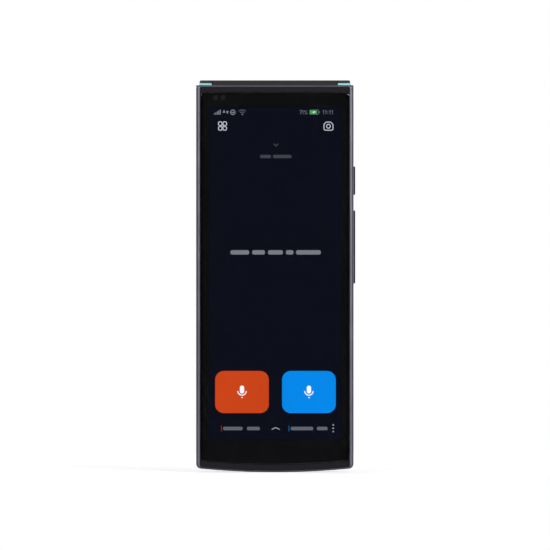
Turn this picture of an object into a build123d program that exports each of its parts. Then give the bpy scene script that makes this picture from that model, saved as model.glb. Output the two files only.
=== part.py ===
from build123d import *

import os
from math import radians, sin, sqrt

os.makedirs("parts", exist_ok=True)

# Handheld translator: a slim main unit with a 5 inch front screen, and a lid on its back that
# carries a second screen for the guest and flips up about a hinge along the top edge.
# X runs to the right as the user sees it, Y to the back and Z up, in millimetres. Z = 0 is the
# lowest point of the curved chin, and X = 0 and Y = 0 are the middle of the width and the depth.

# ---------------------------------------------------------------------------
# Driving dimensions
# ---------------------------------------------------------------------------

# Main unit
body_width = 55.8
body_height = 137.2             # chin to top rail
unit_depth = 9.3                # cover glass to the recess floor that the lid lies on
chin_radius = 275.0             # curve of the bottom edge
top_corner = 1.0
panel_corner = 0.5              # of the guest screen
chin_corner = 1.8
frame_edge = 0.8                # rounding of the metal frame's long edges
side_wall = 1.25
end_wall = 0.55
plate_thickness = 0.7           # web of the frame, between the screen and the electronics
cover_wall = 1.0                # rear cover
block_wall = 1.2                # lower rear block
block_roof = 2.8                # its top, deep enough for the finger notch
block_inset = 1.2               # step from the frame's side to the lid and the block
rear_edge = 0.5                 # rounding of the lid and the block

# Front glass and screen
glass_proud = 0.3
glass_thickness = 0.8
glass_top_drop = 2.44
glass_chin_rise = 2.73
glass_corner = 1.7
glass_edge = 0.4
deck_drop = 0.1                 # the deck lies this far behind the frame's front edge
screen_side = 4.3               # frame's side to the lit area
screen_top = 7.7                # top rail to the lit area
screen_low = 11.5
panel_border = 1.2
panel_foot = 3.9
panel_thickness = 1.5
panel_gap = 0.2
sensor_radius = 0.95
sensor_side = 6.92              # left side to the first sensor
sensor_pitch = 2.68
sensor_drop = 4.4               # below the top rail
sensor_length = 1.1

# Lid and hinge
lid_depth = 5.2
lid_end = 46.0                  # height of the free end
lid_wall = 1.1
lid_floor = 1.0
lid_neck = 4.6                  # hinge axis to the screen bay
lid_corner = 1.0
barrel_radius = 3.6
barrel_rise = 1.8               # how far the hinge stands above the top rail
hood_wall = 0.75
bush_length = 4.4               # coloured ends of the hinge
bush_clearance = 0.2
stub_radius = 1.25
bush_chamfer = 0.15
pin_radius = 0.8
pin_length = 17.0
insert_radius = 2.2
insert_length = 12.0
notch_radius = 20.0             # finger notch above the lower block
notch_depth = 1.8
notch_reach = 3.2

# Guest screen
guest_side = 3.6                # bay's side to the lit area
guest_end = 6.85                # bay's end to the lit area
guest_border = 1.2
guest_foot = 2.4
guest_panel = 1.1
guest_glass_thickness = 0.7
guest_glass_proud = 0.1
carrier_depth = 1.4

# Rear camera in the lid
camera_side = 11.2              # lid's side to the lens
camera_drop = 17.5              # below the hinge axis
camera_window_radius = 3.3
camera_ring_radius = 4.3
camera_size = 8.6
lens_radius = 2.9
lens_share = 0.45               # of the barrel, open to the lens
window_thickness = 0.4
flash_radius = 1.6
flash_pitch = 9.5
flash_depth = 0.4               # seated below the shell's inner face
flash_edge = 0.15

# Keys on the right side
key_width = 3.0
key_proud = 0.6
key_corner = 1.2
key_edge = 0.35
key_flange = 0.7
power_length = 10.1
power_drop = 33.85              # top rail to the key's middle
power_travel = 0.4
rocker_length = 25.9
key_spacing = 5.5               # power key's lower end to the rocker's upper end
rocker_pitch = 18.0
rocker_tilt = 1.5               # degrees either way
rocker_play = 0.45              # room behind the wall for the tilt
dome_radius = 1.4
dome_height = 0.5
dome_gap = 0.08                 # left when a key is pressed home
strip_thickness = 0.4
strip_foot = 1.6
strip_foot_height = 0.3
strip_width = 3.0
strip_end = 3.0                 # strip beyond its last switch

# Card tray on the left side
tray_rise = 6.5                 # main board's lower edge to the tray's middle
tray_length = 17.2
tray_width = 11.8
tray_thickness = 1.2
tray_head = 13.0
tray_head_height = 1.8
tray_clearance = 0.3
tray_rim = 1.5
reader_wall = 0.2
reader_length = 15.0
card_length = 12.3
card_width = 8.8
card_thickness = 0.67
card_corner = 1.7
eject_radius = 0.5
eject_pitch = 9.4
tray_corner = 1.0

# Boards, battery and small parts in the main unit
board_thickness = 0.8
board_drop = 5.4                # hinge axis to the main board's top
board_height = 33.5
board_corner = 1.0
board_screw_inset = 3.2
board_screw_rise = 2.4
boss_radius = 1.7
case_screw_inset = 3.5
case_screw_rise = 10.0          # above the lid's free end
case_screw_drop = 9.4           # below the hinge axis
screw_shank = 0.6
screw_head = 1.4
screw_head_height = 0.45
socket_share = 0.6              # of the head's height
case_screw_length = 3.2
board_screw_length = 1.9
shield_height = 1.5
shield_wall = 0.2
shield_edge = 0.3
processor_shield_height = 14.0
modem_shield_width = 17.0
modem_shield_height = 11.0
front_chips = (                 # left edge, side, rise above the board's lower edge
    (-9.0, 8.0, 4.0),
    (3.0, 8.0, 5.0),
    (-14.0, 5.0, 20.0),
)
battery_low = 40.0
battery_end_gap = 2.5
battery_edge = 0.6
battery_tab = 12.0
battery_tab_depth = 0.6
battery_room = 0.4
battery_corner = 2.0
tape_thickness = 0.1
tape_width = 9.0
lower_board_width = 36.0
lower_board_height = 12.5
lower_board_low = 2.6
lower_chip_height = 0.8
usb_width = 8.94
usb_height = 3.16
usb_wall = 0.3
usb_depth = 7.4
usb_inset = 0.15
tongue_width = 6.7
tongue_thickness = 0.7
tongue_drop = 1.3
tongue_base = 1.2
mic_x = 11.0
mic_hole = 0.4
mic_size = 3.4
mic_rise = 2.4
mic_height = 1.1
motor_radius = 4.0
motor_thickness = 2.6
motor_x = -19.0
motor_z = 27.0
motor_edge = 0.3
link_width = 2.0
link_drop = 1.2
flex_thickness = 0.15
display_flex_width = 8.0
display_flex_x = 11.0
flex_lap = 2.4                  # bonded on to the panel's back
antenna_width = 42.0
antenna_height = 4.6
antenna_depth = 2.6
antenna_wall = 1.0
antenna_end = 1.2

# Loudspeaker in the lower block
speaker_width = 36.0
speaker_height = 22.0
speaker_low = 7.0
speaker_wall = 0.8
speaker_corner = 2.0
driver_radius = 8.0
driver_depth = 3.0
driver_rim = 1.0
magnet_share = 0.7              # of the driver's radius
throat_share = 0.3
mesh_thickness = 0.2
mesh_margin = 1.0
grille_hole = 0.55
grille_pitch = 2.1
grille_columns = 11
grille_rows = 3

# Lid electronics
lid_board_width = 40.0
lid_board_camera_gap = 9.6
lid_board_thickness = 0.6
lid_board_rise = 12.0           # above the free end
lid_board_room = 0.6            # between the guest screen and the lid board
lid_chips = ((-7.0, 9.0), (8.0, 5.0))   # left edge, side
magnet_radius = 2.5
magnet_thickness = 1.2
magnet_side = 5.0               # inside of the frame's wall to the magnet's middle
magnet_rise = 4.6               # above the free end
bumper_radius = 0.4
bumper_rise = 6.0

# Clearances
fit_gap = 0.05                  # between pieces that are assembled once
press_gap = 0.02                # pieces pressed into one another
running_gap = 0.05              # pins that turn
glass_gap = 0.08
lid_gap = 0.3                   # between the lid or its barrel and the main unit
lid_end_gap = 0.6
lid_side_gap = 0.25
key_gap = 0.15
part_gap = 0.3                  # between a part inside and its neighbour
stack_gap = 0.5                 # between the tallest parts and the cover

# ---------------------------------------------------------------------------
# Places that follow from them
# ---------------------------------------------------------------------------

half_width = body_width / 2
total_depth = unit_depth + lid_gap + lid_depth
front_face = -total_depth / 2
deck_face = front_face + unit_depth
lid_inner = deck_face + lid_gap
lid_outer = lid_inner + lid_depth

frame_front = front_face + glass_proud
glass_back = front_face + glass_thickness
panel_back = glass_back + panel_thickness
plate_front = panel_back + panel_gap
plate_back = plate_front + plate_thickness
cover_inner = deck_face - cover_wall
wall_inner = half_width - side_wall

hinge_y = lid_outer - barrel_radius
hinge_z = body_height + barrel_rise - barrel_radius
trough_radius = barrel_radius + lid_gap
ear_radius = body_height - hinge_z
lid_half = half_width - block_inset
ear_inner = lid_half + lid_side_gap
bush_inner = lid_half - bush_length
barrel_half = bush_inner - lid_gap
bush_radius = barrel_radius - hood_wall - bush_clearance
block_top = lid_end - lid_end_gap

panel_width = body_width - 2 * (screen_side - panel_border)
panel_low = screen_low - panel_foot
panel_top = body_height - screen_top + panel_border
panel_middle = (panel_low + panel_top) / 2

bay_half = lid_half - lid_wall
bay_low = lid_end + lid_wall
bay_top = hinge_z - lid_neck
bay_middle = (bay_low + bay_top) / 2
lid_rim = lid_inner + guest_glass_proud
lid_floor_face = lid_outer - lid_floor
guest_glass_back = lid_inner + guest_glass_thickness
guest_panel_back = guest_glass_back + guest_panel
guest_panel_width = 2 * (bay_half - guest_side + guest_border)
guest_panel_height = bay_top - bay_low - 2 * (guest_end - guest_foot)
lid_board_front = guest_panel_back + lid_board_room
lid_board_back = lid_board_front + lid_board_thickness
camera_x = camera_side - lid_half
camera_z = hinge_z - camera_drop

board_top = hinge_z - board_drop
board_low = board_top - board_height
board_middle = (board_low + board_top) / 2
usb_middle = plate_back + fit_gap + usb_height / 2
lower_board_front = usb_middle + usb_height / 2
lower_board_back = lower_board_front + board_thickness
lower_board_top = lower_board_low + lower_board_height
block_floor = lid_outer - block_wall
mesh_front = block_floor - mesh_thickness
speaker_front = lower_board_back + lower_chip_height + 2 * part_gap
speaker_middle = speaker_low + speaker_height / 2

key_middle = (plate_back + cover_inner) / 2
key_lip = (cover_inner - plate_back) / 2 - part_gap - key_width / 2
power_middle = body_height - power_drop
rocker_middle = power_middle - power_length / 2 - key_spacing - rocker_length / 2
power_flange = wall_inner - fit_gap
power_back = power_flange - key_flange
dome_face = power_back - power_travel - dome_gap
strip_face = dome_face - dome_height
rocker_flange = wall_inner - rocker_play
rocker_back = dome_face + dome_gap + rocker_pitch / 2 * sin(radians(rocker_tilt))
board_half = strip_face - strip_foot - 2 * part_gap

reader_back = cover_inner - stack_gap
tray_back = reader_back - reader_wall - tray_clearance
tray_front = tray_back - tray_thickness
tray_centre = (tray_front + tray_back) / 2
tray_middle = board_low + tray_rise
tray_end = tray_length - wall_inner
board_back = tray_front - tray_clearance - reader_wall
board_front = board_back - board_thickness
board_standoff = board_front - plate_back
reader_half = tray_width / 2 + tray_clearance + reader_wall
reader_left = tray_end + tray_clearance + reader_wall - reader_length
reader_right = reader_left + reader_length

case_screw_x = wall_inner - case_screw_inset
board_screw_x = board_half - board_screw_inset
magnet_x = wall_inner - magnet_side
battery_half = magnet_x - magnet_radius - stack_gap
battery_top = board_low - battery_end_gap
link_left = battery_half + stack_gap
link_right = link_left + link_width
flex_left = display_flex_x - display_flex_width / 2
flex_right = flex_left + display_flex_width
flex_low = panel_low - 2 * part_gap

case_screw_points = [
    (side * case_screw_x, height)
    for side in (-1, 1)
    for height in (lid_end + case_screw_rise, hinge_z - case_screw_drop)
]
sensor_points = [
    (-half_width + sensor_side + step * sensor_pitch, body_height - sensor_drop)
    for step in (0, 1)
]
board_screw_points = [
    (board_screw_x, board_low + board_screw_rise),
    (board_screw_x, board_middle + boss_radius),
    (-board_screw_x, board_middle + boss_radius),
    (0, board_top - board_screw_rise),
]
lower_screw_points = [
    (side * (lower_board_width / 2 - board_screw_rise), lower_board_top - board_screw_rise)
    for side in (-1, 1)
]
lid_board_low = lid_end + lid_board_rise
lid_board_top = camera_z - camera_size / 2 - lid_board_camera_gap
lid_board_middle = (lid_board_low + lid_board_top) / 2
lid_screw_points = [
    (side * (lid_board_width / 2 - board_screw_rise), height)
    for side in (-1, 1)
    for height in (lid_board_low + board_screw_rise, lid_board_top - board_screw_rise)
]
dome_heights = [power_middle, rocker_middle - rocker_pitch / 2, rocker_middle + rocker_pitch / 2]


# ---------------------------------------------------------------------------
# Helpers
# ---------------------------------------------------------------------------

def at_depth(depth):
    """Upright plane at one depth, looked at from the front."""
    return Plane.XZ.offset(-depth)


def chin_height(across):
    """Height of the curved bottom edge at a distance from the middle."""
    return chin_radius - sqrt(chin_radius**2 - across**2)


def unit_outline(depth, side_inset, top_inset, chin_inset, top_round, chin_round):
    """Front view of the main unit at one depth, moved in from its outer edge."""
    side = half_width - side_inset
    top = body_height - top_inset
    low = chin_height(side) + chin_inset
    with BuildSketch(at_depth(depth)) as outline:
        with BuildLine():
            Polyline((side, low), (side, top), (-side, top), (-side, low))
            ThreePointArc((-side, low), (0, chin_inset), (side, low))
        make_face()
        fillet(outline.vertices().group_by(Axis.Y)[-1], top_round)
        fillet(outline.vertices().group_by(Axis.Y)[0], chin_round)
    return outline.sketch


def trough_profile(radius, start):
    """Side view of the hinge space: round at the bottom, open to the top and the back."""
    with BuildSketch(Plane.YZ.offset(start)) as profile:
        with Locations((hinge_y, hinge_z)):
            Circle(radius)
        with Locations((hinge_y - radius, hinge_z)):
            Rectangle(total_depth, total_depth, align=(Align.MIN, Align.MIN))
    return profile.sketch


def block(left, right, front, back, low, high, mode=Mode.ADD):
    """Box between limits along X, Y and Z."""
    with Locations(((left + right) / 2, (front + back) / 2, (low + high) / 2)):
        return Box(right - left, back - front, high - low, mode=mode)


def plate(across, width, middle, height, corner, front, back, mode=Mode.ADD):
    """Upright plate with rounded corners between two depths."""
    with BuildSketch(at_depth(back)) as face:
        with Locations((across, middle)):
            RectangleRounded(width, height, corner)
    return extrude(face.sketch, amount=back - front, mode=mode)


def discs(points, radius, front, back, mode=Mode.ADD):
    """Round studs or holes along Y at points of the front view."""
    with BuildSketch(at_depth(back)) as face:
        with Locations(*points):
            Circle(radius)
    return extrude(face.sketch, amount=back - front, mode=mode)


def rod(radius, left, right, depth, height, mode=Mode.ADD):
    """Round bar along X."""
    with BuildSketch(Plane.YZ.offset(left)) as face:
        with Locations((depth, height)):
            Circle(radius)
    return extrude(face.sketch, amount=right - left, mode=mode)


def side_slot(start, reach, depth, width, middle, length, corner, mode=Mode.ADD):
    """Rounded block along X on a side wall, seen from the side."""
    with BuildSketch(Plane.YZ.offset(start)) as face:
        with Locations((depth, middle)):
            RectangleRounded(width, length, corner)
    return extrude(face.sketch, amount=reach, mode=mode)


def port_slot(low, reach, width, height, mode=Mode.ADD):
    """Charging port's round-ended section, extruded upwards from the bottom edge."""
    with BuildSketch(Plane.XY.offset(low)) as face:
        with Locations((0, usb_middle)):
            SlotOverall(width, height)
    return extrude(face.sketch, amount=reach, mode=mode)


def save(piece, name):
    """Label a finished piece and write it."""
    piece.part.label = name
    export_step(piece.part, f"parts/{name}.step")


# ---------------------------------------------------------------------------
# Metal frame: side band, web, screw bosses and the two ears of the hinge
# ---------------------------------------------------------------------------

with BuildPart() as mid_frame:
    extrude(unit_outline(deck_face, 0, 0, 0, top_corner, chin_corner), amount=deck_face - frame_front)
    fillet(mid_frame.faces().filter_by(Axis.Y).edges(), frame_edge)
    for pocket_front, pocket_back in ((frame_front, plate_front), (plate_back, deck_face)):
        extrude(
            unit_outline(pocket_back, side_wall, end_wall, end_wall, top_corner / 2, chin_corner / 2),
            amount=pocket_back - pocket_front,
            mode=Mode.SUBTRACT,
        )
    discs(case_screw_points, boss_radius, plate_back, cover_inner)
    discs(board_screw_points, boss_radius, plate_back, board_front)
    discs(lower_screw_points, boss_radius, plate_back, lower_board_front)
    discs(case_screw_points, screw_shank, cover_inner - case_screw_length, cover_inner, Mode.SUBTRACT)
    discs(board_screw_points, screw_shank, board_front - board_standoff, board_front, Mode.SUBTRACT)
    discs(lower_screw_points, screw_shank, lower_board_front - board_screw_length, lower_board_front,
          Mode.SUBTRACT)
    extrude(trough_profile(trough_radius, -ear_inner), amount=2 * ear_inner, mode=Mode.SUBTRACT)

    # hinge ears, one at each top corner
    for side in (-1, 1):
        with BuildSketch(Plane.YZ.offset(side * ear_inner)) as ear_face:
            with Locations((hinge_y / 2, hinge_z)):
                SlotCenterToCenter(hinge_y, 2 * ear_radius)
        extrude(ear_face.sketch, amount=side * (half_width - ear_inner))
        rod(stub_radius + press_gap, min(side * ear_inner, side * half_width),
            max(side * ear_inner, side * half_width), hinge_y, hinge_z, Mode.SUBTRACT)

    # openings in the side walls and the chin
    for middle, length in ((power_middle, power_length), (rocker_middle, rocker_length)):
        side_slot(wall_inner - side_wall, 3 * side_wall, key_middle, key_width + 2 * key_gap, middle,
                  length + 2 * key_gap, key_corner + key_gap, Mode.SUBTRACT)
    side_slot(-half_width - side_wall, 2 * side_wall + fit_gap, tray_centre, tray_head_height + 2 * key_gap,
              tray_middle, tray_head + 2 * key_gap, tray_head_height / 2, Mode.SUBTRACT)
    rod(eject_radius, -half_width - side_wall, -wall_inner + fit_gap, tray_centre,
        tray_middle + eject_pitch, Mode.SUBTRACT)
    port_slot(-end_wall, 3 * end_wall, usb_width + 2 * fit_gap, usb_height + 2 * fit_gap, Mode.SUBTRACT)
    with Locations(*[(side * mic_x, usb_middle, end_wall) for side in (-1, 1)]):
        Cylinder(mic_hole, 4 * end_wall, mode=Mode.SUBTRACT)

    # passage for the screen's flex
    block(flex_left - part_gap, flex_right + part_gap, plate_front, plate_back, flex_low - part_gap,
          panel_low, Mode.SUBTRACT)
save(mid_frame, "mid_frame")


# ---------------------------------------------------------------------------
# Front: deck, cover glass, screen panel, sensors
# ---------------------------------------------------------------------------

with BuildPart() as front_deck:
    extrude(
        unit_outline(plate_front, side_wall + fit_gap, end_wall + fit_gap, end_wall + fit_gap,
                     top_corner / 2, chin_corner / 2),
        amount=plate_front - frame_front - deck_drop,
    )
    extrude(
        unit_outline(glass_back, side_wall, glass_top_drop - glass_gap, glass_chin_rise - glass_gap,
                     glass_corner, glass_corner),
        amount=glass_thickness,
        mode=Mode.SUBTRACT,
    )
    plate(0, panel_width + 2 * glass_gap, panel_middle, panel_top - panel_low + 2 * glass_gap,
          glass_corner / 2, glass_back, plate_front, Mode.SUBTRACT)
    block(flex_left - part_gap, flex_right + part_gap, panel_back - part_gap, plate_front,
          flex_low - part_gap, panel_low, Mode.SUBTRACT)
    discs(sensor_points, sensor_radius + glass_gap, glass_back, plate_front, Mode.SUBTRACT)
save(front_deck, "front_deck")

with BuildPart() as cover_glass:
    extrude(
        unit_outline(glass_back, side_wall + glass_gap, glass_top_drop, glass_chin_rise, glass_corner,
                     glass_corner),
        amount=glass_thickness,
    )
    fillet(cover_glass.faces().sort_by(Axis.Y)[0].edges(), glass_edge)
save(cover_glass, "cover_glass")

with BuildPart() as display_panel:
    plate(0, panel_width, panel_middle, panel_top - panel_low, glass_corner / 2, glass_back, panel_back)
save(display_panel, "display_panel")

with BuildPart() as front_sensors:
    discs(sensor_points, sensor_radius, glass_back, glass_back + sensor_length)
save(front_sensors, "front_sensors")

with BuildPart() as display_flex:
    flex_top = lower_board_top - board_screw_rise - screw_head - part_gap
    block(flex_left, flex_right, panel_back, panel_back + flex_thickness, flex_low, panel_low + flex_lap)
    block(flex_left, flex_right, panel_back, plate_back + flex_thickness, flex_low,
          flex_low + flex_thickness)
    block(flex_left, flex_right, plate_back, plate_back + flex_thickness, flex_low, flex_top)
    block(flex_left, flex_right, plate_back, lower_board_front, flex_top - flex_thickness, flex_top)
save(display_flex, "display_flex")


# ---------------------------------------------------------------------------
# Main board with its shields and card reader
# ---------------------------------------------------------------------------

with BuildPart() as main_board:
    plate(0, 2 * board_half, board_middle, board_height, board_corner, board_front, board_back)
    discs(case_screw_points, boss_radius + part_gap, board_front, board_back, Mode.SUBTRACT)
    discs(board_screw_points, screw_shank + press_gap, board_front, board_back, Mode.SUBTRACT)
    # memory and power chips on the side towards the screen
    for left, width, rise in front_chips:
        block(left, left + width, plate_back + part_gap, board_front, board_low + rise,
              board_low + rise + width)
save(main_board, "main_board")


def shield_can(left, right, low, height):
    """Drawn sheet-metal can over a group of chips, open towards the board."""
    across, middle = (left + right) / 2, low + height / 2
    with BuildPart() as can:
        plate(across, right - left, middle, height, board_corner, board_back, board_back + shield_height)
        fillet(can.faces().sort_by(Axis.Y)[-1].edges(), shield_edge)
        plate(across, right - left - 2 * shield_wall, middle, height - 2 * shield_wall,
              board_corner - shield_wall, board_back, board_back + shield_height - shield_wall,
              Mode.SUBTRACT)
    return can


processor_low = board_low + board_screw_rise - screw_head + part_gap
processor_shield = shield_can(reader_right + case_screw_inset, board_screw_x - screw_head - part_gap,
                              processor_low, processor_shield_height)
save(processor_shield, "processor_shield")

modem_low = processor_low + processor_shield_height + board_corner
modem_left = -modem_shield_width / 4
modem_shield = shield_can(modem_left, modem_left + modem_shield_width, modem_low, modem_shield_height)
save(modem_shield, "modem_shield")

with BuildPart() as sim_reader:
    block(reader_left, reader_right, board_back, reader_back, tray_middle - reader_half,
          tray_middle + reader_half)
    block(reader_left - reader_wall, reader_right - reader_wall, board_back + reader_wall,
          reader_back - reader_wall, tray_middle - reader_half + reader_wall,
          tray_middle + reader_half - reader_wall, Mode.SUBTRACT)
    # window over the card
    block(reader_left + reader_length / 5, reader_right - reader_length / 4, tray_back, reader_back,
          tray_middle - reader_half / 2, tray_middle + reader_half / 2, Mode.SUBTRACT)
save(sim_reader, "sim_reader")


# ---------------------------------------------------------------------------
# Battery, flexes, motor and antenna carrier
# ---------------------------------------------------------------------------

battery_middle = (battery_low + battery_top) / 2
battery_front = plate_back + tape_thickness
battery_back = cover_inner - battery_room

with BuildPart() as battery_tape:
    for side in (-1, 1):
        plate(side * battery_half / 2, tape_width, battery_middle, battery_top - battery_low - tape_width,
              board_corner, plate_back, battery_front)
save(battery_tape, "battery_tape")

with BuildPart() as battery_cell:
    plate(0, 2 * battery_half, battery_middle, battery_top - battery_low, battery_corner, battery_front,
          battery_back)
    fillet(battery_cell.faces().filter_by(Axis.Y).edges(), battery_edge)
    # tab that leads to the main board
    block(-battery_tab / 2, battery_tab / 2, board_front, board_front + battery_tab_depth,
          battery_top - battery_corner, board_low - part_gap)
save(battery_cell, "battery_cell")

with BuildPart() as board_link_flex:
    link_top = board_low - link_drop
    block(link_left, link_right, plate_back, plate_back + flex_thickness, lower_board_top + part_gap,
          link_top)
    block(link_left, link_right, plate_back, board_front, link_top - flex_thickness, link_top)
    block(link_left, link_right, board_front - flex_thickness, board_front, link_top, board_low + part_gap)
save(board_link_flex, "board_link_flex")

with BuildPart() as vibration_motor:
    discs([(motor_x, motor_z)], motor_radius, plate_back, plate_back + motor_thickness)
    fillet(vibration_motor.faces().sort_by(Axis.Y)[-1].edges(), motor_edge)
save(vibration_motor, "vibration_motor")

with BuildPart() as antenna_carrier:
    antenna_top = body_height - end_wall - fit_gap
    block(-antenna_width / 2, antenna_width / 2, plate_back, plate_back + antenna_depth,
          antenna_top - antenna_height, antenna_top)
    block(-antenna_width / 2 + antenna_end, antenna_width / 2 - antenna_end, plate_back + antenna_wall,
          plate_back + antenna_depth, antenna_top - antenna_height + antenna_wall,
          antenna_top - antenna_wall, Mode.SUBTRACT)
save(antenna_carrier, "antenna_carrier")


# ---------------------------------------------------------------------------
# Lower board, charging port, microphones and loudspeaker
# ---------------------------------------------------------------------------

with BuildPart() as lower_board:
    plate(0, lower_board_width, lower_board_low + lower_board_height / 2, lower_board_height, board_corner,
          lower_board_front, lower_board_back)
    discs(lower_screw_points, screw_shank + press_gap, lower_board_front, lower_board_back, Mode.SUBTRACT)
    for middle in (-usb_width, usb_width):
        block(middle - mic_size / 2, middle + mic_size / 2, lower_board_back,
              lower_board_back + lower_chip_height, lower_board_top - 2 * mic_size,
              lower_board_top - mic_size)
save(lower_board, "lower_board")

with BuildPart() as usb_socket:
    port_slot(usb_inset, usb_depth, usb_width, usb_height)
    port_slot(usb_inset, usb_depth - usb_wall, usb_width - 2 * usb_wall, usb_height - 2 * usb_wall,
              Mode.SUBTRACT)
save(usb_socket, "usb_socket")

with BuildPart() as usb_tongue:
    block(-tongue_width / 2, tongue_width / 2, usb_middle - tongue_thickness / 2,
          usb_middle + tongue_thickness / 2, usb_inset + tongue_drop, usb_inset + usb_depth - usb_wall)
    port_slot(usb_inset + usb_depth - usb_wall - tongue_base, tongue_base,
              usb_width - 2 * usb_wall - 2 * press_gap, usb_height - 2 * usb_wall - 2 * press_gap)
    fillet(usb_tongue.edges().filter_by(Axis.X).group_by(Axis.Z)[0], tongue_thickness / 3)
save(usb_tongue, "usb_tongue")

with BuildPart() as microphones:
    for side in (-1, 1):
        block(side * mic_x - mic_size / 2, side * mic_x + mic_size / 2, lower_board_front - mic_height,
              lower_board_front, lower_board_low + part_gap, lower_board_low + part_gap + mic_rise)
save(microphones, "microphones")

with BuildPart() as speaker_box:
    plate(0, speaker_width, speaker_middle, speaker_height, speaker_corner, speaker_front, mesh_front)
    inner_front, inner_back = speaker_front + speaker_wall, mesh_front - speaker_wall
    plate(0, speaker_width - 2 * speaker_wall, speaker_middle, speaker_height - 2 * speaker_wall,
          speaker_corner - speaker_wall, inner_front, inner_back, Mode.SUBTRACT)
    discs([(0, speaker_middle)], driver_radius + press_gap, inner_back, mesh_front, Mode.SUBTRACT)
save(speaker_box, "speaker_box")

with BuildPart() as speaker_driver:
    rim_back = mesh_front - mesh_thickness
    rim_front = rim_back - driver_rim
    with BuildSketch(Plane.XY.offset(speaker_middle)):
        with BuildLine():
            Polyline(
                (0, mesh_front - driver_depth),
                (driver_radius * magnet_share, mesh_front - driver_depth),
                (driver_radius, rim_front),
                (driver_radius, rim_back),
                (driver_radius - driver_rim, rim_back),
                (driver_radius * throat_share, rim_front - driver_rim / 3),
                (0, rim_front),
                close=True,
            )
        make_face()
    revolve(axis=Axis((0, 0, speaker_middle), (0, 1, 0)))
save(speaker_driver, "speaker_driver")

grille_width = (grille_columns - 1) * grille_pitch
grille_height = (grille_rows - 1) * grille_pitch

with BuildPart() as speaker_mesh:
    plate(0, grille_width + 2 * grille_hole + 2 * mesh_margin, speaker_middle,
          grille_height + 2 * grille_hole + 2 * mesh_margin, mesh_margin, mesh_front, block_floor)
save(speaker_mesh, "speaker_mesh")


# ---------------------------------------------------------------------------
# Rear cover: recess floor, hinge trough and the lower block
# ---------------------------------------------------------------------------

with BuildPart() as rear_cover:
    # lower block, level with the lid's outer face
    extrude(
        unit_outline(lid_outer, block_inset, body_height - block_top, 0, rear_edge, chin_corner),
        amount=lid_outer - deck_face,
    )
    fillet(rear_cover.faces().sort_by(Axis.Y)[-1].edges(), rear_edge)

    # recess floor, set into the frame
    extrude(
        unit_outline(deck_face, side_wall + fit_gap, end_wall + fit_gap, end_wall + fit_gap,
                     top_corner / 2, chin_corner / 2),
        amount=cover_wall,
    )

    # hollow of the block, open towards the main unit
    extrude(
        unit_outline(block_floor, block_inset + block_wall, body_height - block_top + block_roof,
                     end_wall + block_wall, top_corner, top_corner),
        amount=block_floor - cover_inner,
        mode=Mode.SUBTRACT,
    )

    # wall of the trough behind the top rail
    with BuildPart(mode=Mode.PRIVATE) as trough_wall:
        extrude(trough_profile(trough_radius + cover_wall, -half_width), amount=body_width)
        extrude(
            unit_outline(deck_face, side_wall + fit_gap, end_wall + fit_gap, end_wall + fit_gap,
                         top_corner / 2, chin_corner / 2),
            amount=unit_depth,
            mode=Mode.INTERSECT,
        )
    add(trough_wall.part)
    extrude(trough_profile(trough_radius, -half_width), amount=body_width, mode=Mode.SUBTRACT)

    # finger notch at the lid's free end
    with BuildSketch(at_depth(lid_outer)) as notch:
        with Locations((0, block_top - notch_depth + notch_radius)):
            Circle(notch_radius)
    extrude(notch.sketch, amount=notch_reach, mode=Mode.SUBTRACT)

    # loudspeaker grille and screw seats
    with BuildSketch(at_depth(lid_outer)) as grille:
        with Locations((0, speaker_middle)):
            with GridLocations(grille_pitch, grille_pitch, grille_columns, grille_rows):
                Circle(grille_hole)
    extrude(grille.sketch, amount=block_wall, mode=Mode.SUBTRACT)
    discs(case_screw_points, screw_shank + press_gap, cover_inner, deck_face, Mode.SUBTRACT)
    discs(case_screw_points, screw_head + fit_gap, deck_face - screw_head_height, deck_face, Mode.SUBTRACT)
save(rear_cover, "rear_cover")


def screw_set(points, head_face, head_height, length):
    """Small machine screws driven in from the back, with hexagon sockets."""
    with BuildPart() as screws:
        discs(points, screw_head, head_face - head_height, head_face)
        discs(points, screw_shank - press_gap, head_face - head_height - length, head_face - head_height)
        with BuildSketch(at_depth(head_face)) as sockets:
            with Locations(*points):
                RegularPolygon(screw_shank, 6)
        extrude(sockets.sketch, amount=head_height * socket_share, mode=Mode.SUBTRACT)
    return screws


case_screws = screw_set(case_screw_points, deck_face, screw_head_height,
                        cover_wall - screw_head_height + case_screw_length - part_gap)
save(case_screws, "case_screws")

board_screws = screw_set(board_screw_points, board_back + screw_head_height, screw_head_height,
                         board_thickness + board_standoff - press_gap)
save(board_screws, "board_screws")

lower_board_screws = screw_set(lower_screw_points, lower_board_back + screw_head_height, screw_head_height,
                               board_thickness + board_screw_length - part_gap)
save(lower_board_screws, "lower_board_screws")

magnet_points = [(side * magnet_x, lid_end + magnet_rise) for side in (-1, 1)]

with BuildPart() as body_magnets:
    discs(magnet_points, magnet_radius, cover_inner - magnet_thickness, cover_inner)
save(body_magnets, "body_magnets")


# ---------------------------------------------------------------------------
# Side keys, their switches, and the card tray
# ---------------------------------------------------------------------------

def side_key(back, flange_face, middle, length):
    """Key cap that stands out through the wall, with the flange that keeps it in."""
    with BuildPart() as key:
        side_slot(back, half_width + key_proud - back, key_middle, key_width, middle, length, key_corner)
        fillet(key.faces().sort_by(Axis.X)[-1].edges(), key_edge)
        side_slot(back, flange_face - back, key_middle, key_width + 2 * key_lip, middle,
                  length + 2 * key_lip, key_corner)
    return key


power_key = side_key(power_back, power_flange, power_middle, power_length)
save(power_key, "power_key")

rocker_cap = side_key(rocker_back, rocker_flange, rocker_middle, rocker_length)

with BuildPart() as volume_rocker:
    add(rocker_cap.part)
    # rib that bears on the wall, about which the rocker tilts
    with BuildSketch(at_depth(key_middle + key_width / 2 + key_lip)) as rib:
        with Locations((rocker_flange, rocker_middle)):
            Circle(rocker_play - running_gap)
    extrude(rib.sketch, amount=key_width + 2 * key_lip)
save(volume_rocker, "volume_rocker")

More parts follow.
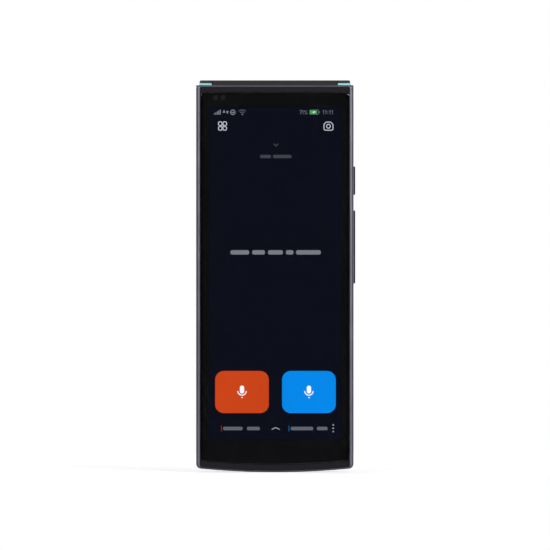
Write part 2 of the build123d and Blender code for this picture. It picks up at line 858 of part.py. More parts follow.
with BuildPart() as side_switches:
    strip_low = min(dome_heights) - strip_end
    strip_high = max(dome_heights) + strip_end
    block(strip_face - strip_thickness, strip_face, plate_back, key_middle + strip_width / 2, strip_low,
          strip_high)
    for height in dome_heights:
        rod(dome_radius, strip_face, dome_face, key_middle, height)
    block(strip_face - strip_foot, strip_face, plate_back, plate_back + strip_foot_height, strip_low,
          strip_high)
save(side_switches, "side_switches")

with BuildPart() as sim_tray:
    side_slot(-half_width, side_wall - fit_gap, tray_centre, tray_head_height, tray_middle, tray_head,
              tray_head_height / 2 - fit_gap)
    block(-wall_inner - 2 * fit_gap, tray_end, tray_front, tray_back, tray_middle - tray_width / 2,
          tray_middle + tray_width / 2)
    fillet(sim_tray.edges().filter_by(Axis.Y).group_by(Axis.X)[-1], tray_corner)
    card_right = tray_end - tray_rim
    card_left = card_right - card_length
    block(card_left - fit_gap, card_right + fit_gap, tray_back - card_thickness - fit_gap, tray_back,
          tray_middle - card_width / 2 - fit_gap, tray_middle + card_width / 2 + fit_gap, Mode.SUBTRACT)
save(sim_tray, "sim_tray")

with BuildPart() as sim_card:
    block(card_left, card_right, tray_back - card_thickness, tray_back, tray_middle - card_width / 2,
          tray_middle + card_width / 2)
    chamfer(sim_card.edges().filter_by(Axis.Y).sort_by(Axis.X)[-1], card_corner)
save(sim_card, "sim_card")


# ---------------------------------------------------------------------------
# Hinge: coloured bushes, pins and the friction inserts they turn in
# ---------------------------------------------------------------------------

def between(side, near, far):
    """Left and right limits of a stretch that lies near to far from the middle, on one side."""
    return min(side * near, side * far), max(side * near, side * far)


def hinge_bush(side):
    """Coloured bush that carries one end of the lid."""
    with BuildPart() as bush:
        rod(bush_radius, *between(side, bush_inner, ear_inner), hinge_y, hinge_z)
        chamfer(bush.faces().filter_by(Axis.X).edges(), bush_chamfer)
        rod(stub_radius, *between(side, ear_inner, half_width - fit_gap), hinge_y, hinge_z)
        rod(pin_radius + press_gap, *between(side, bush_inner, half_width), hinge_y, hinge_z, Mode.SUBTRACT)
    return bush


hinge_bush_left = hinge_bush(-1)
save(hinge_bush_left, "hinge_bush_left")

hinge_bush_right = hinge_bush(1)
save(hinge_bush_right, "hinge_bush_right")

pin_outer = half_width - 2 * fit_gap

with BuildPart() as hinge_pins:
    for side in (-1, 1):
        rod(pin_radius, *between(side, pin_outer - pin_length, pin_outer), hinge_y, hinge_z)
save(hinge_pins, "hinge_pins")

with BuildPart() as friction_inserts:
    for side in (-1, 1):
        span = between(side, barrel_half - insert_length, barrel_half)
        rod(insert_radius, *span, hinge_y, hinge_z)
        rod(pin_radius + running_gap, *span, hinge_y, hinge_z, Mode.SUBTRACT)
save(friction_inserts, "friction_inserts")


# ---------------------------------------------------------------------------
# Lid: shell with the hinge barrel, screen carrier, guest screen and camera
# ---------------------------------------------------------------------------

flash_points = [(camera_x + flash_pitch, camera_z)]

with BuildPart() as lid_shell:
    with BuildSketch(Plane.YZ.offset(-lid_half)):
        with Locations((lid_rim, lid_end)):
            Rectangle(lid_outer - lid_rim, hinge_z - lid_end, align=(Align.MIN, Align.MIN))
        with Locations((hinge_y, hinge_z)):
            Circle(barrel_radius)
    extrude(amount=2 * lid_half)
    fillet(lid_shell.edges().filter_by(Axis.Y).group_by(Axis.Z)[0], lid_corner)
    outer_face = lid_shell.faces().filter_by(Axis.Y).sort_by(Axis.Y)[-1]
    fillet(outer_face.edges(), rear_edge)

    # screen bay
    plate(0, 2 * bay_half, bay_middle, bay_top - bay_low, lid_corner / 2, lid_rim, lid_floor_face,
          Mode.SUBTRACT)
    discs(lid_screw_points, boss_radius, lid_board_back, lid_floor_face)
    discs(lid_screw_points, screw_shank, lid_board_back, lid_floor_face, Mode.SUBTRACT)

    # hollow barrel, and at each end a hood over the coloured bush
    rod(insert_radius + press_gap, -barrel_half, barrel_half, hinge_y, hinge_z, Mode.SUBTRACT)
    for side in (-1, 1):
        left, right = between(side, barrel_half, lid_half)
        rod(barrel_radius - hood_wall, left, right, hinge_y, hinge_z, Mode.SUBTRACT)
        block(left, right, hinge_y - total_depth, hinge_y, hinge_z, hinge_z + total_depth, Mode.SUBTRACT)

    # camera and flash openings
    discs([(camera_x, camera_z)], camera_ring_radius + press_gap, lid_floor_face, lid_outer, Mode.SUBTRACT)
    discs(flash_points, flash_radius + press_gap, lid_floor_face, lid_outer, Mode.SUBTRACT)
save(lid_shell, "lid_shell")

with BuildPart() as guest_glass:
    plate(0, 2 * (bay_half - glass_gap), bay_middle, bay_top - bay_low - 2 * glass_gap, lid_corner / 2,
          lid_inner, guest_glass_back)
    fillet(guest_glass.faces().sort_by(Axis.Y)[0].edges(), glass_edge / 2)
save(guest_glass, "guest_glass")

with BuildPart() as lid_carrier:
    plate(0, 2 * (bay_half - fit_gap), bay_middle, bay_top - bay_low - 2 * fit_gap, lid_corner / 2,
          guest_glass_back, guest_glass_back + carrier_depth)
    plate(0, guest_panel_width + 2 * glass_gap, bay_middle, guest_panel_height + 2 * glass_gap, panel_corner,
          guest_glass_back, guest_glass_back + carrier_depth, Mode.SUBTRACT)
save(lid_carrier, "lid_carrier")

with BuildPart() as guest_display:
    plate(0, guest_panel_width, bay_middle, guest_panel_height, panel_corner, guest_glass_back,
          guest_panel_back)
save(guest_display, "guest_display")

with BuildPart() as lid_board:
    plate(0, lid_board_width, lid_board_middle, lid_board_top - lid_board_low, board_corner,
          lid_board_front, lid_board_back)
    discs(lid_screw_points, screw_shank + press_gap, lid_board_front, lid_board_back, Mode.SUBTRACT)
    # screen driver and camera chips
    for left, width in lid_chips:
        block(left, left + width, lid_board_back, lid_floor_face - part_gap, lid_board_middle - width / 2,
              lid_board_middle + width / 2)
save(lid_board, "lid_board")

with BuildPart() as lid_screws:
    lid_head = lid_board_room - fit_gap
    discs(lid_screw_points, screw_head, lid_board_front - lid_head, lid_board_front)
    discs(lid_screw_points, screw_shank - press_gap, lid_board_front, lid_floor_face - part_gap)
    with BuildSketch(at_depth(lid_board_front - lid_head / 2)) as lid_sockets:
        with Locations(*lid_screw_points):
            RegularPolygon(screw_shank, 6)
    extrude(lid_sockets.sketch, amount=lid_head / 2, mode=Mode.SUBTRACT)
save(lid_screws, "lid_screws")

with BuildPart() as camera_ring:
    discs([(camera_x, camera_z)], camera_ring_radius, lid_floor_face, lid_outer)
    discs([(camera_x, camera_z)], camera_window_radius - part_gap, lid_floor_face, lid_outer, Mode.SUBTRACT)
    discs([(camera_x, camera_z)], camera_window_radius + press_gap, lid_outer - window_thickness - fit_gap,
          lid_outer, Mode.SUBTRACT)
save(camera_ring, "camera_ring")

with BuildPart() as camera_window:
    discs([(camera_x, camera_z)], camera_window_radius, lid_outer - window_thickness - fit_gap,
          lid_outer - fit_gap)
save(camera_window, "camera_window")

with BuildPart() as camera_module:
    plate(camera_x, camera_size, camera_z, camera_size, board_corner, guest_panel_back + part_gap,
          lid_floor_face)
    discs([(camera_x, camera_z)], lens_radius, lid_floor_face, lid_outer - window_thickness - 3 * fit_gap)
    discs([(camera_x, camera_z)], lens_radius * lens_share, lid_floor_face, lid_outer, Mode.SUBTRACT)
save(camera_module, "camera_module")

with BuildPart() as flash_lens:
    discs(flash_points, flash_radius, lid_floor_face - flash_depth, lid_outer - fit_gap)
    fillet(flash_lens.faces().sort_by(Axis.Y)[-1].edges(), flash_edge)
save(flash_lens, "flash_lens")

with BuildPart() as lid_magnets:
    discs(magnet_points, magnet_radius, lid_floor_face - magnet_thickness, lid_floor_face)
save(lid_magnets, "lid_magnets")

bumper_points = [
    (side * (bay_half + lid_half) / 2, height)
    for side in (-1, 1)
    for height in (lid_end + bumper_rise, bay_top - bumper_rise)
]

with BuildPart() as lid_bumpers:
    discs(bumper_points, bumper_radius, deck_face + fit_gap, lid_rim)
save(lid_bumpers, "lid_bumpers")
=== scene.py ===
# %% [markdown]
# # A pocket translator with a screen on each side
# The translator is a slim upright unit: a blasted aluminium frame, a black cover glass over a five inch
# screen, and a second, smaller screen in a lid that lies on the back and flips up over the top edge. The
# solid model already holds every real part, with its size and its hinge. This lesson gives those parts
# their finishes, prints the black border under the glass, lights both screens, and adds the small things
# that a solid model leaves out. The model opens first, because every finish is laid on one of its parts,
# and its box is kept, because nothing that is added here may stick out of it.

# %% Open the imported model
import math

import bmesh
import bpy
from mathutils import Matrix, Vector


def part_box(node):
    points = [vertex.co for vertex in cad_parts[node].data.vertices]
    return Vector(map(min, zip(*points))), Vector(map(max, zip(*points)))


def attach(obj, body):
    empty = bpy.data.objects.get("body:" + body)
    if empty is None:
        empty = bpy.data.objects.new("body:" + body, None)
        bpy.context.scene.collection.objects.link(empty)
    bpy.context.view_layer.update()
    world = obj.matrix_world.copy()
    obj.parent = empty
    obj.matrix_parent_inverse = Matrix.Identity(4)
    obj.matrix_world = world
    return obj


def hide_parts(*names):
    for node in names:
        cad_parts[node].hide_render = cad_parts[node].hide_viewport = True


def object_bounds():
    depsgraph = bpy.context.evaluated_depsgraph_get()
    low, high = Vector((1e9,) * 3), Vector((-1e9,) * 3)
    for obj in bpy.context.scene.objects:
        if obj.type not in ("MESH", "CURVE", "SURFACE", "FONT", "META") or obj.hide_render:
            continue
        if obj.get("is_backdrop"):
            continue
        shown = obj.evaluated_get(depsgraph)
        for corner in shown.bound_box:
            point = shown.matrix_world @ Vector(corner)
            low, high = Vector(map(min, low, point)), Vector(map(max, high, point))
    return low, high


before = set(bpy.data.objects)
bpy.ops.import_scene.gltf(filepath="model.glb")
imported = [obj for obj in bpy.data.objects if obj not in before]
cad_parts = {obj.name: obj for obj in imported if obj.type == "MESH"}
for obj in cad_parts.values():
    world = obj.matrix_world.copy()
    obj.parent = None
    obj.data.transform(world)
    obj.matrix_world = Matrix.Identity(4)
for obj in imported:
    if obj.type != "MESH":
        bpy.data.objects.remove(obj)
cad_low, cad_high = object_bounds()
print("translator:", [round(1000 * (high - low), 1) for low, high in zip(cad_low, cad_high)], "mm")

# %% [markdown]
# ## Lengths and colours
# The translator is drawn in millimetres, and Blender works in metres, so one factor turns one into the
# other. Colours are easiest to pick as screen values from 0 to 255. The shaders want linear light, so each
# value is bent by the usual screen curve once, here, and nowhere else.

# %% Millimetres and screen colours
MM = 0.001


def light_value(level):
    """One screen value from 0 to 255 as linear light."""
    level /= 255
    return level / 12.92 if level <= 0.04045 else ((level + 0.055) / 1.055) ** 2.4


def screen_colour(red, green, blue):
    """A colour given in screen values, as linear light."""
    return tuple(light_value(level) for level in (red, green, blue)) + (1.0,)


def shaded(colour, factor):
    """A colour made darker or lighter, and still opaque."""
    return tuple(factor * part for part in colour[:3]) + (1.0,)


def box_mm(node):
    """The low and the high corner of a part of the solid model, in mm."""
    return [[side / MM for side in corner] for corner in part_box(node)]


print("mid grey as light:", round(light_value(128), 3))

# %% [markdown]
# ## The camera
# The unit is looked at squarely from the front. A short lens would make the hinge behind the glass look
# smaller than it is, so the lens is very long and stands far off, which keeps all edges of the unit upright
# and parallel.

# %% A long lens, far away
scene = bpy.context.scene
scene.view_settings.view_transform = "Standard"

picture_side, picture_middle = 194.9 * MM, (0.05 * MM, 69.9 * MM)
front_face = cad_low.y
lens_length, sensor_width = 1200.0, 36.0
reach = picture_side * lens_length / sensor_width

camera_data = bpy.data.cameras.new("studio_camera")
camera_data.lens, camera_data.sensor_width = lens_length, sensor_width
camera_data.clip_start, camera_data.clip_end = 0.05, 50.0
camera = bpy.data.objects.new("studio_camera", camera_data)
camera.location = (picture_middle[0], front_face - reach, picture_middle[1])
camera.rotation_euler = (math.radians(90), 0, 0)
scene.collection.objects.link(camera)
scene.camera = camera
print("camera stands", round(reach, 2), "m in front of the glass")

# %% [markdown]
# ## A recipe book for node trees
# Every finish is a small tree of shader nodes. Writing the trees node by node takes three lines for each
# node, so one helper adds a node, sets its options and fills its inputs, either with a number or with
# another node's output. The steps that come back in many finishes, such as noise of a given size, have
# short names of their own.

# %% The recipe helper
wave_repeat = 0.314         # a wave texture of scale 1 repeats after this length


class Recipe:
    """A node tree that is filled one node at a time."""

    def __init__(self, owner):
        owner.use_nodes = True
        self.tree = owner.node_tree
        self.tree.nodes.clear()

    def add(self, kind, inputs=(), **options):
        """A new node, with its options set and its inputs filled or linked."""
        node = self.tree.nodes.new("ShaderNode" + kind)
        for option, value in options.items():
            setattr(node, option, value)
        for key, value in dict(inputs).items():
            if isinstance(value, bpy.types.NodeSocket):
                self.tree.links.new(value, node.inputs[key])
            else:
                node.inputs[key].default_value = value
        return node

    def calculate(self, operation, *values):
        """One step of arithmetic on numbers."""
        return self.add("Math", dict(enumerate(values)), operation=operation).outputs[0]

    def fade(self, amount, first, second):
        """Goes from one number to another as the amount goes from 0 to 1."""
        return self.add("Mix", {0: amount, 2: first, 3: second}).outputs[0]

    def blend(self, amount, first, second):
        """Goes from one colour to another as the amount goes from 0 to 1."""
        return self.add("Mix", {0: amount, 6: first, 7: second}, data_type="RGBA").outputs[2]

    def span(self, value, low, high, start=0.3, end=0.7):
        """Stretches a texture's usual values over the wanted range."""
        limits = {"From Min": start, "From Max": end, "To Min": low, "To Max": high}
        return self.add("MapRange", {"Value": value, **limits}).outputs[0]

    def noise(self, place, size, detail, roughness=0.5):
        """Soft noise whose patches are about as wide as the size (mm)."""
        look = {"Scale": 1 / (size * MM), "Detail": detail, "Roughness": roughness}
        return self.add("TexNoise", {"Vector": place, **look}).outputs["Fac"]

    def waves(self, place, pitch, direction):
        """Even bands that follow each other at a pitch (mm)."""
        inputs = {"Vector": place, "Scale": wave_repeat / (pitch * MM)}
        return self.add("TexWave", inputs, bands_direction=direction).outputs["Fac"]

    def bump(self, height, strength, depth):
        """Turns a pattern of heights into a relief of some depth (mm)."""
        inputs = {"Strength": strength, "Distance": depth * MM, "Height": height}
        return self.add("Bump", inputs).outputs[0]

    def finish(self, **inputs):
        """Ends a surface with its one shader. The names of its inputs have a low line for each space."""
        named = {socket.replace("_", " "): value for socket, value in inputs.items()}
        shader = self.add("BsdfPrincipled", named)
        self.add("OutputMaterial", {"Surface": shader.outputs[0]})


def new_finish(name):
    """A new material, its recipe, and the place on the part, in the part's own space."""
    material = bpy.data.materials.new(name)
    recipe = Recipe(material)
    return material, recipe, recipe.add("TexCoord").outputs["Object"]


print("recipe helper ready")

# %% [markdown]
# ## The studio
# A black glass shows whatever stands in front of it, so the half of the room before the unit is hung with
# dark cloth, as it is round a real lens, and the half behind it keeps two pale screens at its corners. The
# world does this by direction: it is white where it is seen, dark or pale in mirrors and through glass, and
# only a soft grey as a lamp. The floor is white as well, and keeps the soft shadow at the foot of the unit.

# %% White room with a dark half
cloth_level, screen_level, wall_end_level, ambient = 0.04, 0.7, 0.4, 0.32
room = bpy.data.worlds.new("white_studio")
scene.world = room
recipe = Recipe(room)
ray = recipe.add("LightPath").outputs
heading = recipe.add("SeparateXYZ", {0: recipe.add("TexCoord").outputs["Generated"]}).outputs
sideways = recipe.calculate("ABSOLUTE", heading["X"])
screens = recipe.add("ValToRGB", {0: sideways})
stops = screens.color_ramp.elements
stops[0].position, stops[1].position = 0.25, 0.85
stops.new(0.40)
stops.new(0.60)
for stop, shine in zip(stops, (cloth_level, screen_level, screen_level, wall_end_level)):
    stop.color = (shine, shine, shine, 1.0)
behind = recipe.add("MapRange", {"Value": heading["Y"], "From Min": -0.3, "From Max": 0.15},
                    interpolation_type="SMOOTHSTEP").outputs[0]
half_dark = recipe.fade(behind, cloth_level, screens.outputs["Color"])
bent = recipe.calculate("MAXIMUM", ray["Is Glossy Ray"], ray["Is Transmission Ray"])
mirrored = recipe.fade(bent, ambient, half_dark)
strength = recipe.fade(ray["Is Camera Ray"], mirrored, 1.0)
backdrop = recipe.add("Background", {"Color": (1, 1, 1, 1), "Strength": strength})
recipe.add("OutputWorld", {"Surface": backdrop.outputs[0]})

floor_radius, floor_middle = 0.44, (0.0, 0.31, 0.0)
floor_glow = 0.42           # lifts the paper to white where it is seen
floor_mesh = bpy.data.meshes.new("studio_floor")
draft = bmesh.new()
bmesh.ops.create_circle(draft, cap_ends=True, radius=floor_radius, segments=96)
draft.to_mesh(floor_mesh)
draft.free()
floor = bpy.data.objects.new("studio_floor", floor_mesh)
floor.location = floor_middle
scene.collection.objects.link(floor)

paper, recipe, spot = new_finish("floor_paper")
ray = recipe.add("LightPath").outputs
away = recipe.add("VectorMath", {0: spot}, operation="LENGTH").outputs["Value"]
rim = recipe.add("MapRange", {"Value": away, "From Min": 0.6 * floor_radius, "From Max": 0.98 * floor_radius},
                 interpolation_type="SMOOTHSTEP").outputs[0]
fibre = recipe.add("TexNoise", {"Vector": spot, "Scale": 900.0, "Detail": 2.0}).outputs["Fac"]
tone = recipe.blend(fibre, (0.78, 0.78, 0.79, 1), (0.82, 0.82, 0.82, 1))
sheet = recipe.add("BsdfDiffuse", {"Color": tone})
glow = recipe.add("Emission", {"Strength": recipe.calculate("MULTIPLY", ray["Is Camera Ray"], floor_glow)})
lit_sheet = recipe.add("AddShader", {0: sheet.outputs[0], 1: glow.outputs[0]})
room_white = recipe.add("Emission", {"Strength": recipe.span(ray["Is Camera Ray"], cloth_level, 1.0, 0, 1)})
faded = recipe.add("MixShader", {0: rim, 1: lit_sheet.outputs[0], 2: room_white.outputs[0]})
recipe.add("OutputMaterial", {"Surface": faded.outputs[0]})
floor.data.materials.append(paper)
floor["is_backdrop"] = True
print("floor radius", floor_radius, "m, ambient", ambient)

# %% [markdown]
# ## Soft lamps
# Big soft boxes stand to the left, the right, above and behind. None stands where the flat glass would
# mirror it into the camera, but the rounded edges of the frame catch the side boxes as thin bright lines.
# Each box is set by its share of full light on a surface that faces it.

# %% Five soft boxes
boxes = {
    "left_box": ((-0.32, -1.10, 0.46), 0.36, 0.28),
    "right_box": ((0.36, -1.10, 0.44), 0.36, 0.52),
    "top_box": ((0.05, -0.20, 1.05), 0.70, 0.08),
    "back_left_box": ((-0.60, 0.95, 0.50), 0.70, 0.40),
    "back_right_box": ((0.80, 0.75, 0.20), 0.50, 0.26),
}
aim = Vector((0, 0, 0.08))
for name, (place, size, share) in boxes.items():
    lamp = bpy.data.lights.new(name, "AREA")
    lamp.shape, lamp.size = "SQUARE", size
    box = bpy.data.objects.new(name, lamp)
    box.location = place
    towards = aim - box.location
    lamp.energy = share * math.pi**2 * towards.length_squared
    box.rotation_euler = towards.to_track_quat("-Z", "Y").to_euler()
    box.visible_camera = False
    scene.collection.objects.link(box)
print("soft boxes:", len(boxes))

# %% [markdown]
# ## Finishes that are never quite even
# A blasted or moulded surface has a fine grain, which catches light in tiny pits, and a slow drift in tone
# and gloss over some millimetres, from the process and from handling. Both come from noise in the part's
# own space, so they turn with the part. What is the same all over, such as how metallic it is, stays a
# plain number: the dyed layer on anodised aluminium scatters light as paint does, so the frame counts as
# metal only in part. That layer also stays dim where it is seen at a low angle, so the outer edges don't
# turn white.

# %% One recipe for grained metals and plastics
drift_size, drift_gloss = 9.0, 0.04


def grained(name, colour, gloss_lost, grain, relief, metal=0.0, shade=0.05, cells=False, **plain):
    """A finish with a fine grain (mm across, mm deep) and a slow drift of tone and gloss."""
    material, recipe, place = new_finish(name)
    slow = recipe.noise(place, drift_size, 3.0)
    if cells:
        spread = {"Vector": place, "Scale": 1 / (grain * MM)}
        pits = recipe.add("TexVoronoi", spread, feature="SMOOTH_F1").outputs[0]
    else:
        pits = recipe.noise(place, grain, 2.0)
    tone = recipe.blend(recipe.span(slow, 0.0, 1.0), shaded(colour, 1 - shade), shaded(colour, 1 + shade))
    rough = recipe.span(slow, gloss_lost - drift_gloss, gloss_lost + drift_gloss)
    pitted = recipe.bump(pits, 0.6, relief)
    recipe.finish(Base_Color=tone, Roughness=rough, Metallic=metal, Normal=pitted, **plain)
    return material


def dress(material, *nodes):
    """Lays a finish on parts of the solid model."""
    for node in nodes:
        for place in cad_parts[node].material_slots:
            place.material = material


blasted = {"grain": 0.14, "relief": 0.005, "metal": 0.75, "Specular_IOR_Level": 0.2,
           "Specular_Tint": (0.4, 0.4, 0.43, 1.0)}
frame_alloy = grained("frame_alloy", screen_colour(112, 111, 121), 0.38, **blasted)
dress(frame_alloy, "mid_frame")
key_alloy = grained("key_alloy", screen_colour(40, 40, 47), 0.42, grain=0.12, relief=0.004, metal=0.6,
                    Specular_IOR_Level=0.15, Specular_Tint=(0.35, 0.35, 0.4, 1.0))
dress(key_alloy, "power_key", "volume_rocker")
tray_alloy = grained("tray_alloy", screen_colour(112, 111, 121), 0.38, **blasted)
dress(tray_alloy, "sim_tray")
hinge_accent = grained("hinge_accent", screen_colour(172, 234, 240), 0.42, grain=0.12, relief=0.004,
                       metal=0.1)
dress(hinge_accent, "hinge_bush_left", "hinge_bush_right")
print("metal finishes:", frame_alloy.name, key_alloy.name, tray_alloy.name, hinge_accent.name)

# %% [markdown]
# ## Satin plastics
# The deck round the glass, the rear cover and the lid are moulded in tools with an eroded texture. Under a
# lens that is a field of shallow cells, so the grain here comes from a cell pattern instead of plain noise.

# %% Deck, rear cover, lid and the parts inside
deck_plastic = grained("deck_plastic", screen_colour(23, 20, 26), 0.55, grain=0.22, relief=0.006, cells=True,
                       Specular_IOR_Level=0.12)
dress(deck_plastic, "front_deck")
rear_plastic = grained("rear_plastic", screen_colour(46, 45, 50), 0.55, grain=0.25, relief=0.008, cells=True,
                       Specular_IOR_Level=0.3)
dress(rear_plastic, "rear_cover")
lid_plastic = grained("lid_plastic", screen_colour(44, 43, 48), 0.55, grain=0.25, relief=0.008, cells=True,
                      Specular_IOR_Level=0.25, Sheen_Weight=0.05)
dress(lid_plastic, "lid_shell")
black_moulding = grained("black_moulding", screen_colour(30, 30, 31), 0.5, grain=0.2, relief=0.006,
                         cells=True)
dress(black_moulding, "lid_carrier", "speaker_box", "usb_tongue", "antenna_carrier", "camera_module")
bumper_rubber = grained("bumper_rubber", screen_colour(24, 24, 25), 0.75, grain=0.1, relief=0.004)
dress(bumper_rubber, "lid_bumpers")
print("plastic finishes:", deck_plastic.name, rear_plastic.name, lid_plastic.name)

# %% [markdown]
# ## Steel, boards and films
# Pressed and turned steel parts show fine lines rather than pits. The boards are green under their lacquer,
# with copper tracks that shimmer through, and the flexible leads are amber film. Most of this is inside,
# and shows only when the unit is taken apart, so each needs one honest recipe and no more.

# %% Brushed steel and circuit boards
def brushed(name, colour, gloss_lost, squeeze=(1, 1, 40), streak=4.0):
    """Steel with fine lines: noise with long patches (mm), squeezed across the lines."""
    material, recipe, place = new_finish(name)
    squeezed = recipe.add("Mapping", {"Vector": place, "Scale": squeeze}).outputs[0]
    lines = recipe.noise(squeezed, streak, 4.0)
    tone = recipe.blend(recipe.span(lines, 0, 1), shaded(colour, 0.92), shaded(colour, 1.08))
    rough = recipe.span(lines, gloss_lost - 0.07, gloss_lost + 0.07)
    recipe.finish(Base_Color=tone, Roughness=rough, Metallic=1.0, Normal=recipe.bump(lines, 0.4, 0.004))
    return material


def laminate(name):
    """Green lacquer over copper tracks that run square to each other."""
    material, recipe, place = new_finish(name)
    flat = recipe.add("SeparateXYZ", {0: place}).outputs
    across = recipe.add("CombineXYZ", {0: flat["X"], 1: flat["Z"]}).outputs[0]
    layout = {"Scale": 420.0, "Mortar Size": 0.05, "Brick Width": 0.9, "Row Height": 0.35}
    tracks = recipe.add("TexBrick", {"Vector": across, **layout}).outputs["Fac"]
    tone = recipe.blend(tracks, screen_colour(14, 74, 52), screen_colour(36, 112, 74))
    recipe.finish(Base_Color=tone, Roughness=0.38, Normal=recipe.bump(tracks, 0.5, 0.02), Coat_Weight=0.4)
    return material


bright_steel = brushed("bright_steel", screen_colour(196, 196, 198), 0.28)
dress(bright_steel, "processor_shield", "modem_shield", "sim_reader", "side_switches", "hinge_pins",
      "friction_inserts")
port_steel = brushed("port_steel", screen_colour(176, 176, 180), 0.26, squeeze=(1, 1, 30))
dress(port_steel, "usb_socket", "vibration_motor", "microphones", "body_magnets", "lid_magnets")
black_screw = brushed("black_screw", screen_colour(92, 92, 95), 0.32, squeeze=(30, 1, 30), streak=2.0)
dress(black_screw, "case_screws", "board_screws", "lower_board_screws", "lid_screws")
green_board = laminate("green_board")
dress(green_board, "main_board", "lower_board", "lid_board")
amber_film = grained("amber_film", screen_colour(176, 102, 28), 0.3, grain=0.4, relief=0.003, shade=0.12)
dress(amber_film, "display_flex", "board_link_flex")
cell_wrap = grained("cell_wrap", screen_colour(48, 49, 54), 0.35, grain=0.9, relief=0.03, shade=0.08)
dress(cell_wrap, "battery_cell")
pull_tape = grained("pull_tape", screen_colour(226, 225, 216), 0.5, grain=0.3, relief=0.004)
dress(pull_tape, "battery_tape")
card_plastic = grained("card_plastic", screen_colour(232, 232, 228), 0.35, grain=0.3, relief=0.002)
dress(card_plastic, "sim_card")
cone_film = grained("cone_film", screen_colour(40, 40, 42), 0.3, grain=0.5, relief=0.004)
dress(cone_film, "speaker_driver")
print("inside finishes laid on the boards, shields, leads and the battery")

# %% [markdown]
# ## Woven speaker mesh
# Behind the rows of holes on the back sits a woven steel cloth that keeps dust out. Two sets of waves that
# cross, one along each thread direction, make the weave, and the gaps between the threads are painted
# nearly black, as painted shade for the dark inside seen through them.

# %% Two crossing waves
thread_pitch = 0.12
woven_mesh, recipe, place = new_finish("woven_mesh")
weft = recipe.waves(place, thread_pitch, "X")
warp = recipe.waves(place, thread_pitch, "Z")
weave = recipe.calculate("MAXIMUM", weft, warp)
# the gaps between the threads get a nearly black colour: painted shade for the holes
tone = recipe.blend(weave, screen_colour(8, 8, 9), screen_colour(104, 104, 108))
recipe.finish(Base_Color=tone, Roughness=0.4, Metallic=0.9, Normal=recipe.bump(weave, 0.8, 0.03))
dress(woven_mesh, "speaker_mesh")
print("mesh thread pitch", thread_pitch, "mm")

# %% [markdown]
# ## Clear glass
# Both screens and the camera lie under clear glass. A polished glass still has a trace of touch on it, so
# its roughness drifts a little, from none to the faintest haze. A coating halves its mirror image, which is
# a lower specular level. The glass itself has no colour: the black border is ink behind it, a piece of its
# own.

# %% Glass for the front, the guest screen and the camera
def clear_glass(name, haze):
    """Polished glass, with a trace of haze where it was touched."""
    material, recipe, place = new_finish(name)
    touch = recipe.noise(place, 14.0, 5.0, roughness=0.65)
    rough = recipe.span(touch, 0.0, haze, start=0.45, end=0.75)
    recipe.finish(Base_Color=(1, 1, 1, 1), Roughness=rough, IOR=1.5, Transmission_Weight=1.0,
                  Specular_IOR_Level=0.22)
    return material


front_glass = clear_glass("front_glass", 0.02)
dress(front_glass, "cover_glass")
guest_glass = clear_glass("guest_glass", 0.03)
dress(guest_glass, "guest_glass")
lens_glass = clear_glass("lens_glass", 0.02)
dress(lens_glass, "camera_window", "front_sensors")
flash_resin = grained("flash_resin", screen_colour(206, 205, 196), 0.22, grain=0.3, relief=0.003)
dress(flash_resin, "flash_lens")
ring_alloy = grained("ring_alloy", screen_colour(138, 137, 147), 0.34, grain=0.1, relief=0.002, metal=0.6)
dress(ring_alloy, "camera_ring")
panel_black = grained("panel_black", screen_colour(12, 12, 14), 0.3, grain=0.3, relief=0.002)
dress(panel_black, "display_panel", "guest_display")
print("glass over both screens and the camera")

# %% [markdown]
# ## Drawing flat shapes
# The ink under the glass and everything that a screen shows are thin flat shapes. Each is drawn as closed
# loops in millimetres, right and up, filled by a flat curve, where a loop inside another makes a hole, and
# turned into a mesh a few thousandths thick. The loops come from a few small pens: a rounded box, a disc,
# an arc and a round-ended line.

# %% Pens for loops
def disc_loop(right, up, radius, steps=32):
    """Points round a circle."""
    turns = [2 * math.pi * step / steps for step in range(steps)]
    return [(right + radius * math.cos(turn), up + radius * math.sin(turn)) for turn in turns]


def arc_points(right, up, radius, start, end, steps):
    """Points along a part of a circle, from one angle to another (degrees)."""
    turns = [math.radians(start + (end - start) * step / steps) for step in range(steps + 1)]
    return [(right + radius * math.cos(turn), up + radius * math.sin(turn)) for turn in turns]


def box_loop(left, right, low, high, radius, steps=8):
    """A box whose corners are rounded."""
    corners = [(right - radius, high - radius, 0), (left + radius, high - radius, 90),
               (left + radius, low + radius, 180), (right - radius, low + radius, 270)]
    loop = []
    for middle_right, middle_up, start in corners:
        loop += arc_points(middle_right, middle_up, radius, start, start + 90, steps)
    return loop


def line_sides(points, reach, closed):
    """The points of a line, moved sideways by the reach."""
    moved = []
    count = len(points)
    for index, (right, up) in enumerate(points):
        before = points[index - 1] if closed or index else None
        after = points[(index + 1) % count] if closed or index < count - 1 else None
        normals = []
        for start, end in ((before, (right, up)), ((right, up), after)):
            if start and end:
                run, rise = end[0] - start[0], end[1] - start[1]
                length = math.hypot(run, rise)
                normals.append((-rise / length, run / length))
        if len(normals) == 1:
            side = normals[0]
        else:
            (a, b), (c, d) = normals
            share = 1 + a * c + b * d
            side = ((a + c) / share, (b + d) / share)
        moved.append((right + reach * side[0], up + reach * side[1]))
    return moved


def pen_line(points, width, closed=False):
    """Loops of a line of one width: two for a closed line, one with round ends for an open one."""
    half, end_steps = width / 2, 6
    first, second = line_sides(points, half, closed), line_sides(points, -half, closed)
    if closed:
        return [first, second]
    loop = []
    for side, end, beside in ((first, points[-1], points[-2]), (second[::-1], points[0], points[1])):
        loop += side
        heading = math.atan2(end[1] - beside[1], end[0] - beside[0])
        for step in range(1, end_steps):
            turn = heading + math.pi / 2 - math.pi * step / end_steps
            loop.append((end[0] + half * math.cos(turn), end[1] + half * math.sin(turn)))
    return [loop]


print("pens ready")

